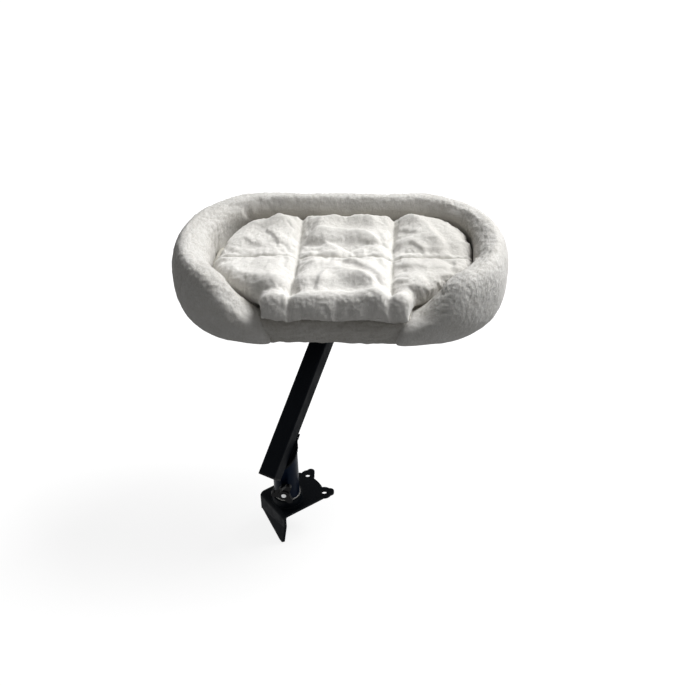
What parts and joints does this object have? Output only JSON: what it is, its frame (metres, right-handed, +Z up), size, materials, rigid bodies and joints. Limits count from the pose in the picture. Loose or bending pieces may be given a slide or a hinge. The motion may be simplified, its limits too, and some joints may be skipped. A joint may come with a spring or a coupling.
{
  "type": "desk-mounted cat bed",
  "caption": "Padded oval cat bed with a low front entry and a quilted cushion, carried above a desk by a slanted swivel arm on a post with a lock knob.",
  "frame": {"origin": "where the post's axis meets the desk's top, on the underside of the desk pad", "axes": "+X along the bed's long side, +Y from the bed's entry to its back, +Z up"},
  "size_m": [0.532, 0.3716, 0.4675],
  "materials": {
    "black_powder_coat": "satin",
    "blue_black_gloss": "gloss",
    "bare_steel": "satin",
    "white_nylon": "matte",
    "black_plastic": "matte",
    "black_rubber": "matte",
    "grey_fabric": "matte",
    "pale_grey_plush": "matte",
    "off_white_plush": "matte",
    "foam": "matte",
    "plywood": "satin"
  },
  "bodies": {
    "base": {"desk_bracket": "black_powder_coat", "desk_pad": "black_rubber", "edge_pad": "black_rubber", "foot_ring": "black_powder_coat", "pivot_pin": "bare_steel", "thrust_washer": "white_nylon"},
    "arm": {"swivel_sleeve": "blue_black_gloss", "lower_bush": "white_nylon", "upper_bush": "white_nylon", "saddle_plate": "black_powder_coat", "lock_nut": "black_powder_coat", "support_arm": "black_powder_coat", "arm_end_plug": "black_plastic", "head_plate": "black_powder_coat", "head_stud": "bare_steel", "swivel_washer": "white_nylon", "stud_washer": "bare_steel", "stud_nut": "bare_steel"},
    "knob": {"lock_screw": "bare_steel", "lock_knob": "black_plastic"},
    "bed": {"bed_plate": "black_powder_coat", "board_screws": "bare_steel", "tee_nuts": "bare_steel", "under_cover": "grey_fabric", "bed_board": "plywood", "foam_base": "foam", "front_sill": "pale_grey_plush", "padded_wall": "pale_grey_plush", "hook_strips": "black_plastic", "cushion": "off_white_plush"}
  },
  "joints": [
    {"name": "arm_swivel", "type": "hinge", "parent": "base", "child": "arm", "pos_m": [0, 0, 0.06], "axis": [0, 0, 1], "continuous": true},
    {"name": "bed_swivel", "type": "hinge", "parent": "arm", "child": "bed", "pos_m": [0.08732, 0.16423, 0.307], "axis": [0, 0, 1], "continuous": true},
    {"name": "lock_knob_turn", "type": "hinge", "parent": "arm", "child": "knob", "pos_m": [0, 0, 0.05], "axis": [-0.0175, -0.9998, 0], "range_deg": [0, 720]}
  ]
}
